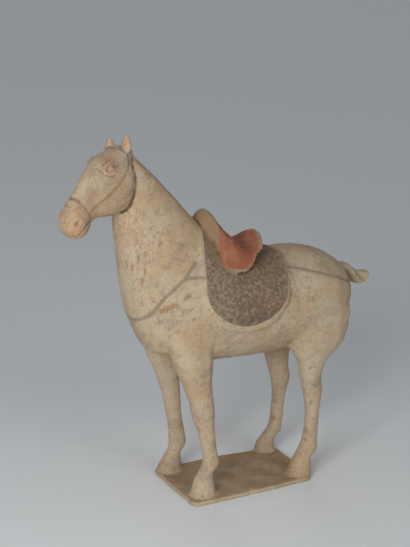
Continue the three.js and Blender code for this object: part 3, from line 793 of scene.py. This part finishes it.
def fill_haunch(skin):
    """Fills the crease where the top of a hind leg runs into the barrel."""
    x, y, z = skin.points.T
    blend = smooth_step(np.abs(y - BODY_MIDDLE_Y), 15, 24) * smooth_step(x, 34, 40) * smooth_step(x, 108, 100)
    blend *= smooth_step(z, 106, 120) * smooth_step(z, 200, 190)
    skin.push(-0.8 * blend * np.clip(crease_depths(skin, 60), -3, 0))
    skin.smooth(30, blend)


def in_face(skin):
    """The face in front of the neck, and how far each point lies down and out along it."""
    along, up, _ = to_head(skin.points).T
    return (skin.points[:, 0] < FACE_BACK_X) & (along > 3) & (up > -14), along + up


def refine_head(skin):
    """Makes the faces of the head finer, and finest round the eyes."""
    face, out = in_face(skin)
    skin.refine(face & (out > 9) | on_ears(skin.points))
    face, _ = in_face(skin)
    skin.smooth(3, face + 0.4 * (on_ears(skin.points) & ~face))
    skin.refine(near_eyes(skin, eye_area) > 0)
    skin.smooth(2, near_eyes(skin, eye_area))


def build_figure(form):
    mesh = remeshed(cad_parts[NODE], form.voxel)
    mesh.name = PIECE
    skin = Skin(mesh)
    soft = softness(skin.points)
    skin.smooth(form.passes, soft)
    crisp = np.clip(1 - 3 * soft, 0, 1) * (skin.points[:, 2] > HOOF_TOP)
    skin.push(form.crease * crisp * np.clip(crease_depths(skin, 6), -1, 0))
    fill_haunch(skin)
    refine_head(skin)
    carve(skin, form)
    paint_tack(skin)
    paint_face(skin)
    paint_stains(skin)
    skin.write()
    mesh.shade_smooth()
    piece = bpy.data.objects.new(PIECE, mesh)
    bpy.context.scene.collection.objects.link(piece)
    return piece


# Shader building

class Board:
    """Adds shader nodes to one tree, in reading order, for patterns over one place."""

    def __init__(self, tree, place=None):
        self.tree = tree
        self.place = place
        self.count = 0

    def node(self, kind, inputs=None, **settings):
        made = self.tree.nodes.new(kind)
        made.location = (self.count % 12 * 180, -(self.count // 12) * 320)
        self.count += 1
        for name, value in settings.items():
            setattr(made, name, value)
        for name, value in (inputs or {}).items():
            if isinstance(value, bpy.types.NodeSocket):
                self.tree.links.new(value, made.inputs[name])
            else:
                made.inputs[name].default_value = value
        return made

    def math(self, operation, first, second=0.0, clamp=False):
        made = self.node("ShaderNodeMath", {0: first, 1: second}, operation=operation, use_clamp=clamp)
        return made.outputs[0]

    def times(self, first, second):
        return self.math("MULTIPLY", first, second)

    def plus(self, first, second):
        return self.math("ADD", first, second)

    def noise(self, scale, detail=2.0, roughness=0.55, place=None):
        place = self.place if place is None else place
        inputs = {"Vector": place, "Scale": scale, "Detail": detail, "Roughness": roughness}
        return self.node("ShaderNodeTexNoise", inputs).outputs["Fac"]

    def ramp(self, value, low, high):
        inputs = {"Value": value, "From Min": low, "From Max": high, "To Min": 0.0, "To Max": 1.0}
        return self.node("ShaderNodeMapRange", inputs, interpolation_type="SMOOTHSTEP").outputs["Result"]

    def clouds(self, scale, span, detail=2.0, roughness=0.55, place=None):
        """Cloudy patches as a mask, none where the noise is below its span and full above it."""
        return self.ramp(self.noise(scale, detail, roughness, place), *span)

    def uneven(self, scale, detail, roughness, depth):
        """Noise about nought, times a depth."""
        about = self.math("SUBTRACT", self.noise(scale, detail, roughness), 0.5)
        return self.times(about, depth)

    def mix(self, share, first, second, blend="MIX"):
        inputs = {0: share, 6: first, 7: second}
        return self.node("ShaderNodeMix", inputs, data_type="RGBA", blend_type=blend).outputs[2]

    def coat(self, shade, mask, share, colour):
        """Lays a colour over the shade under a mask, as thickly as the share says."""
        return self.mix(self.times(mask, share), shade, colour)

    def mapped(self, **inputs):
        """The place stretched or moved, given as Scale or Location."""
        inputs["Vector"] = self.place
        return self.node("ShaderNodeMapping", inputs, vector_type="POINT").outputs[0]

    def axes(self):
        return self.node("ShaderNodeSeparateXYZ", {0: self.place}).outputs

    def field(self, name):
        return self.node("ShaderNodeAttribute", attribute_name=name).outputs["Fac"]

    def group(self, tree, inputs):
        return self.node("ShaderNodeGroup", {"Place": self.place, **inputs}, node_tree=tree).outputs[0]


def shader_group(name, sockets, output):
    """A node group with a place and named numbers to set, and one output."""
    tree = bpy.data.node_groups.new(name, "ShaderNodeTree")
    tree.interface.new_socket("Place", in_out="INPUT", socket_type="NodeSocketVector")
    for label, default in sockets.items():
        socket = tree.interface.new_socket(label, in_out="INPUT", socket_type="NodeSocketFloat")
        socket.default_value = default
    tree.interface.new_socket(output, in_out="OUTPUT", socket_type="NodeSocketFloat")
    given = tree.nodes.new("NodeGroupInput").outputs
    made = tree.nodes.new("NodeGroupOutput").inputs
    return tree, Board(tree, given["Place"]), given, made


def speckle_group():
    """Specks of one size in patches, as a mask."""
    sockets = {"Scale": 500.0, "Patch scale": 40.0, "Cover": 0.3}
    tree, board, given, made = shader_group("Speckle", sockets, "Mask")
    grain = board.noise(given["Scale"], 3, 0.6)
    patch = board.uneven(given["Patch scale"], 2, 0.55, 0.5)
    cover = board.times(given["Cover"], 0.3)
    level = board.plus(board.plus(grain, patch), cover)
    tree.links.new(board.ramp(level, 0.64, 0.72), made[0])
    return tree


def worn_paint_group():
    """Paint inside a signed distance in millimetres, with an uneven edge and worn gaps, as a mask."""
    sockets = {"Inset": 0.0, "Softness": 0.35, "Wobble": 0.8, "Wear scale": 260.0, "Wear": 0.3}
    tree, board, given, made = shader_group("Worn paint", sockets, "Mask")
    ragged = board.uneven(330.0, 3, 0.55, board.times(given["Wobble"], 2.0))
    shifted = board.plus(given["Inset"], ragged)
    inside = board.ramp(shifted, board.times(given["Softness"], -1.0), given["Softness"])
    fleck = board.noise(given["Wear scale"], 4, 0.65)
    gone = board.ramp(board.plus(fleck, board.times(given["Wear"], 0.3)), 0.62, 0.74)
    most = board.math("MINIMUM", board.times(given["Wear"], 2.0), 1.0)
    kept = board.math("SUBTRACT", 1.0, board.times(gone, most))
    tree.links.new(board.math("MULTIPLY", inside, kept, clamp=True), made[0])
    return tree


def grain_group():
    """Fine grain and pits of fired clay, as a height."""
    tree, board, _, made = shader_group("Clay grain", {}, "Height")
    coarse = board.times(board.noise(420.0, 4, 0.62), 0.7)
    fine = board.times(board.noise(1600.0, 3, 0.6), 0.25)
    pits = board.times(board.clouds(700.0, (0.3, 0.2)), 0.4)
    tree.links.new(board.math("SUBTRACT", board.plus(coarse, fine), pits), made[0])
    return tree


def slip_layers(board, colours, speckle):
    """Cream slip, mottled and speckled."""
    shade = board.mix(board.clouds(24.0, (0.42, 0.62), 3), colours.slip, colours.warm_slip)
    shade = board.coat(shade, board.clouds(60.0, (0.48, 0.68), 4, 0.62), 0.65, colours.grey_slip)
    shade = board.coat(shade, board.clouds(260.0, (0.46, 0.7), 4, 0.6), 0.3, colours.warm_slip)
    shade = board.coat(shade, board.clouds(190.0, (0.5, 0.66), 5, 0.7), 0.34, colours.ochre)
    specks = board.group(speckle, {"Scale": 520.0, "Patch scale": 34.0, "Cover": 0.24})
    shade = board.coat(shade, specks, 0.5, colours.ochre)
    dots = board.group(speckle, {"Scale": 800.0, "Patch scale": 60.0, "Cover": 0.12})
    shade = board.coat(shade, dots, 0.42, colours.dirt_and_shade)
    return board.coat(shade, board.clouds(480.0, (0.56, 0.7), 4, 0.65), 0.3, colours.slip)


def neck_streaks(board, shade, colours, speckle):
    """Brown streaks and freckles down the neck."""
    neck = board.field("neck")
    upright = board.mapped(Scale=(1.0, 1.0, 0.3))
    gathered = board.clouds(45.0, (0.4, 0.6))
    streak = board.times(board.clouds(380.0, (0.56, 0.68), 3, 0.6, upright), gathered)
    shade = board.coat(shade, streak, board.times(neck, 0.8), colours.rust)
    freckles = board.group(speckle, {"Scale": 480.0, "Patch scale": 60.0, "Cover": 0.2})
    return board.coat(shade, freckles, board.times(neck, 0.5), colours.rust)


def brown_marks(board, shade, colours):
    """Brown marks with broken edges, and the bare clay on top of the slab."""
    spread = board.plus(board.field("mark"), board.uneven(620.0, 5, 0.8, 2.6))
    shade = board.coat(shade, board.ramp(spread, 0.3, 0.95), 0.75, colours.rust)
    bare = board.times(board.field("slab"), board.ramp(board.axes()[2], 0.0034, 0.0042))
    return board.coat(shade, bare, 0.8, colours.slab)


def orange_left(board, shade, colours):
    """Orange left on the muzzle, round the eyes and on the ears, stronger in the ears' hollows as painted
    shade.
    """
    broken = board.uneven(420.0, 5, 0.75, 3.0)
    left = board.ramp(board.plus(board.field("orange"), broken), 0.3, 0.95)
    shade = board.coat(shade, left, 0.66, colours.orange)
    # The ears' orange, with painted shade in their hollows.
    ears = board.times(board.field("ear"), board.ramp(broken, -0.5, 0.4))
    return board.coat(shade, ears, 0.75, colours.orange)


def cloth_paint(board, shade, colours, paint):
    """The saddle cloth, mottled in pale, reddish and ochre spots."""
    axes = board.axes()
    moved = board.mapped(Location=(0.31, 0.17, 0.05))
    low = board.times(board.ramp(axes[2], 0.186, 0.17), 0.8)
    ground = board.mix(low, colours.cloth, colours.cloth_low)
    ground = board.coat(ground, board.clouds(75.0, (0.48, 0.66), 3, 0.6), 0.5, colours.cloth_red)
    ground = board.coat(ground, board.clouds(90.0, (0.46, 0.64), 3, 0.6, moved), 0.55, colours.cloth_ochre)
    ground = board.coat(ground, board.clouds(340.0, (0.5, 0.64), 4, 0.65, moved), 0.68, colours.dirt_and_shade)
    forward = board.times(board.ramp(axes[0], 0.0, -0.05), 0.08)
    spots = board.ramp(board.plus(board.noise(330.0, 5, 0.68), forward), 0.5, 0.64)
    ground = board.coat(ground, spots, 0.72, colours.cloth_pale)
    ground = board.coat(ground, board.clouds(900.0, (0.5, 0.66), 4, 0.65), 0.35, colours.cloth_pale)
    edge = {"Inset": board.field("cloth_inset"), "Wobble": 0.9, "Softness": 0.5, "Wear": 0.12}
    return board.mix(board.group(paint, edge), shade, ground)


def saddle_paint(board, shade, colours, paint):
    """The saddle: worn buff edges, the pommel's dull sides and the red of the seat."""
    side = board.mix(board.clouds(430.0, (0.42, 0.62), 4, 0.65), colours.band, colours.pommel)
    wood = board.mix(board.field("band"), colours.pommel, side)
    edge = {"Inset": board.field("saddle_inset"), "Wobble": 0.4, "Softness": 0.4, "Wear": 0.0}
    shade = board.coat(shade, board.group(paint, edge), 0.95, wood)
    red = board.mix(board.clouds(110.0, (0.42, 0.68), 4, 0.62), colours.seat_red, colours.seat_worn)
    red = board.coat(red, board.clouds(500.0, (0.62, 0.74), 3, 0.6), 0.4, colours.pommel)
    edge = {"Inset": board.field("seat_inset"), "Wobble": 0.7, "Softness": 1.0, "Wear": 0.12}
    return board.coat(shade, board.group(paint, edge), 0.95, red)


def strap_paint(board, shade, colours, paint):
    """Grey straps, the faint line behind the cloth and the lines of the bridle."""
    free = board.ramp(board.field("cloth_inset"), 0.5, -2.0)
    inset = board.math("SUBTRACT", 1.6, board.field("strap_reach"))
    edge = {"Inset": inset, "Wobble": 0.8, "Softness": 1.0, "Wear": 0.16, "Wear scale": 420.0}
    strap = board.times(board.group(paint, edge), free)
    shade = board.coat(shade, strap, 0.66, colours.strap)
    broken = board.plus(board.noise(260.0, 3), 0.1)
    faint = board.times(board.times(board.field("faint_line"), broken), free)
    shade = board.coat(shade, faint, 0.6, colours.strap)
    inset = board.math("SUBTRACT", 1.0, board.field("bridle_reach"))
    edge = {"Inset": inset, "Wobble": 0.6, "Softness": 0.5, "Wear": 0.3, "Wear scale": 420.0}
    return board.coat(shade, board.group(paint, edge), 0.85, colours.strap)


def dirt_and_painted_shade(board, shade, colours):
    """Dirt in the face's grooves, painted shadow in the tail's fold, the eyes' brown with darkened grooves,
    painted shade and dirt in the creases, and paler slip on the high places.
    """
    patchy = board.plus(board.times(board.noise(300.0, 3), 0.7), 0.3)
    # Ochre dirt in the face's grooves, and painted shadow in the tail's fold.
    shade = board.coat(shade, board.times(board.field("soiled_and_shaded"), patchy), 0.9, colours.ochre)
    worn = board.math("ADD", board.times(board.noise(420.0, 3), 0.6), 0.5, clamp=True)
    # The eye's brown, and its grooves darkened.
    shade = board.coat(shade, board.field("eye"), worn, colours.eye)
    # Painted shade with dirt in the creases, and paler slip on the high places.
    relief = board.field("relief")
    shade = board.coat(shade, board.ramp(relief, -0.16, -0.58), 0.9, colours.dirt_and_shade)
    shade = board.coat(shade, board.ramp(relief, 0.12, 0.6), 0.3, colours.slip)
    value = board.plus(board.times(board.noise(2400.0), 0.2), 0.9)
    grey = board.node("ShaderNodeCombineColor", {0: value, 1: value, 2: value}).outputs[0]
    return board.mix(1.0, shade, grey, "MULTIPLY")


def clay_material(colours):
    material = bpy.data.materials.new("Slipped earthenware")
    material.use_nodes = True
    tree = material.node_tree
    tree.nodes.clear()
    board = Board(tree)
    board.place = board.node("ShaderNodeTexCoord").outputs["Object"]
    speckle, paint, grain = speckle_group(), worn_paint_group(), grain_group()
    shade = slip_layers(board, colours, speckle)
    shade = neck_streaks(board, shade, colours, speckle)
    shade = brown_marks(board, shade, colours)
    shade = orange_left(board, shade, colours)
    shade = cloth_paint(board, shade, colours, paint)
    shade = saddle_paint(board, shade, colours, paint)
    shade = strap_paint(board, shade, colours, paint)
    shade = dirt_and_painted_shade(board, shade, colours)
    height = board.group(grain, {})
    bump = board.node("ShaderNodeBump", {"Height": height, "Strength": 0.55, "Distance": 0.0004}).outputs[0]
    rough = board.plus(board.times(board.noise(160.0, 3), 0.14), 0.8)
    surface = board.node(
        "ShaderNodeBsdfPrincipled",
        {"Base Color": shade, "Roughness": rough, "Specular IOR Level": 0.28, "Normal": bump},
    )
    output = board.node("ShaderNodeOutputMaterial")
    tree.links.new(surface.outputs[0], output.inputs[0])
    return material


# Operators

class OBJECT_OT_pottery_horse(bpy.types.Operator):
    """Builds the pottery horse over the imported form"""

    bl_idname = "object.pottery_horse"
    bl_label = "Pottery horse"

    def execute(self, context):
        scene = context.scene
        piece = build_figure(scene.clay_form)
        piece.data.materials.clear()
        piece.data.materials.append(clay_material(scene.clay_colours))
        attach(piece, "root")
        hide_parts(NODE)
        return {"FINISHED"}


class OBJECT_OT_studio(bpy.types.Operator):
    """Builds the floor, the lights and the camera"""

    bl_idname = "object.pottery_studio"
    bl_label = "Studio"

    def execute(self, context):
        scene = context.scene
        studio = scene.studio_set
        floor = self.floor(studio)
        camera = bpy.data.cameras.new("camera")
        camera.lens = studio.focal
        camera.clip_start, camera.clip_end = 0.05, 60
        scene.camera = self.aimed(camera, studio, studio.azimuth, studio.elevation, studio.distance)
        key = bpy.data.lights.new("key", "AREA")
        key.energy = studio.key
        key.size = KEY_SIZE
        self.aimed(key, studio, *map(math.radians, KEY_PLACE), KEY_DISTANCE)
        for name, strength, place in (("fill", studio.fill, FILL_PLACE), ("rear", studio.rear, REAR_PLACE)):
            broad = bpy.data.lights.new(name, "SUN")
            broad.energy = strength
            broad.angle = BROAD_SPREAD
            self.aimed(broad, studio, *map(math.radians, place), BROAD_DISTANCE)
        world = bpy.data.worlds.new("studio")
        world.use_nodes = True
        sky = world.node_tree.nodes["Background"]
        sky.inputs["Color"].default_value = (0.93, 0.96, 1.0, 1)
        sky.inputs["Strength"].default_value = studio.ambient
        scene.world = world
        scene.view_settings.view_transform = "Standard"
        return {"FINISHED"}

    def floor(self, studio):
        mesh = bpy.data.meshes.new("floor")
        half = FLOOR_HALF
        corners = [(-half, -half, 0), (half, -half, 0), (half, half, 0), (-half, half, 0)]
        mesh.from_pydata(corners, [], [(0, 1, 2, 3)])
        material = bpy.data.materials.new("Floor")
        material.use_nodes = True
        surface = material.node_tree.nodes["Principled BSDF"]
        surface.inputs["Base Color"].default_value = studio.floor
        surface.inputs["Roughness"].default_value = 0.9
        surface.inputs["Specular IOR Level"].default_value = 0.1
        mesh.materials.append(material)
        made = bpy.data.objects.new("floor", mesh)
        bpy.context.scene.collection.objects.link(made)
        return made

    def aimed(self, data, studio, turn, lift, distance):
        """A camera or lamp that looks at the aim from a turn and a lift about it."""
        back = Vector((math.sin(turn) * math.cos(lift), -math.cos(turn) * math.cos(lift), math.sin(lift)))
        made = bpy.data.objects.new(data.name, data)
        made.location = Vector(studio.aim) + back * distance
        made.rotation_euler = (-back).to_track_quat("-Z", "Y").to_euler()
        bpy.context.scene.collection.objects.link(made)
        return made


class VIEW3D_PT_pottery_horse(bpy.types.Panel):
    """The sidebar panel of the pottery horse"""

    bl_label = "Pottery horse"
    bl_space_type = "VIEW_3D"
    bl_region_type = "UI"
    bl_category = "Pottery horse"

    def draw(self, context):
        layout = self.layout
        scene = context.scene
        for settings, operator in (
            (scene.clay_form, None),
            (scene.clay_colours, OBJECT_OT_pottery_horse.bl_idname),
            (scene.studio_set, OBJECT_OT_studio.bl_idname),
        ):
            box = layout.box()
            for name in settings.__annotations__:
                box.prop(settings, name)
            if operator:
                box.operator(operator)


CLASSES = (
    ClayForm, ClayColours, StudioSet, OBJECT_OT_pottery_horse, OBJECT_OT_studio, VIEW3D_PT_pottery_horse,
)


def register():
    for kind in CLASSES:
        bpy.utils.register_class(kind)
    bpy.types.Scene.clay_form = PointerProperty(type=ClayForm)
    bpy.types.Scene.clay_colours = PointerProperty(type=ClayColours)
    bpy.types.Scene.studio_set = PointerProperty(type=StudioSet)


def unregister():
    del bpy.types.Scene.clay_form
    del bpy.types.Scene.clay_colours
    del bpy.types.Scene.studio_set
    for kind in reversed(CLASSES):
        bpy.utils.unregister_class(kind)


def main():
    register()
    bpy.ops.object.pottery_horse()
    bpy.ops.object.pottery_studio()


if __name__ == "__main__":
    main()
